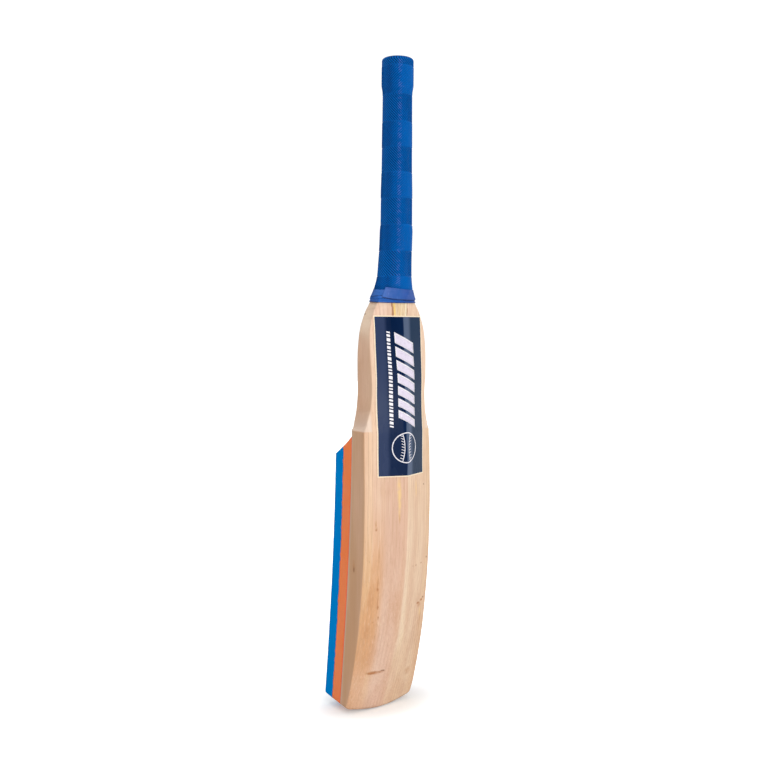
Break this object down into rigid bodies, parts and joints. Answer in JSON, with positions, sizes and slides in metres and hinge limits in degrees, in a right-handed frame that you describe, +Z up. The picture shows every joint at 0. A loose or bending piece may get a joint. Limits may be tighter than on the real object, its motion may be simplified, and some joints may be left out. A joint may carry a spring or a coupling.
{
  "type": "cricket bat",
  "caption": "Full-size wooden bat with a ridged back, two foam layers glued over the striking face, a laminated cane handle and a ribbed rubber grip; used to hit a ball.",
  "frame": {"origin": "under the middle of the bat's bounding box, level with the lowest point of the toe", "axes": "+X across the blade, -Y out of the foam striking face, +Y out of the ridged back, +Z up the blade and handle"},
  "size_m": [0.108, 0.1078, 0.85],
  "materials": {
    "blade_wood": "pale close-grained willow, lightly polished",
    "orange_foam": "closed-cell foam with sawn sides",
    "blue_foam": "closed-cell foam with a skinned face and sawn sides",
    "label_film": "glossy printed film",
    "cane": "split cane, sanded",
    "handle_rubber": "dull sheet rubber",
    "twine": "waxed thread in tight turns",
    "grip_rubber": "moulded rubber with fine slanting ribs",
    "vinyl_tape": "soft glossy tape"
  },
  "bodies": {
    "root": {"blade": "blade_wood", "foam_pad_inner": "orange_foam", "foam_pad_outer": "blue_foam", "back_label": "label_film", "cane_layer1_strip1": "cane", "cane_layer1_strip2": "cane", "cane_layer1_strip3": "cane", "cane_layer2_strip1": "cane", "cane_layer2_strip2": "cane", "cane_layer2_strip3": "cane", "cane_layer3_strip1": "cane", "cane_layer3_strip2": "cane", "cane_layer3_strip3": "cane", "cane_layer4_strip1": "cane", "cane_layer4_strip2": "cane", "cane_layer4_strip3": "cane", "handle_rubber_1": "handle_rubber", "handle_rubber_2": "handle_rubber", "handle_rubber_3": "handle_rubber", "twine_binding_top": "twine", "twine_binding_foot": "twine", "rubber_grip": "grip_rubber", "grip_foot_tape": "vinyl_tape"}
  },
  "joints": []
}
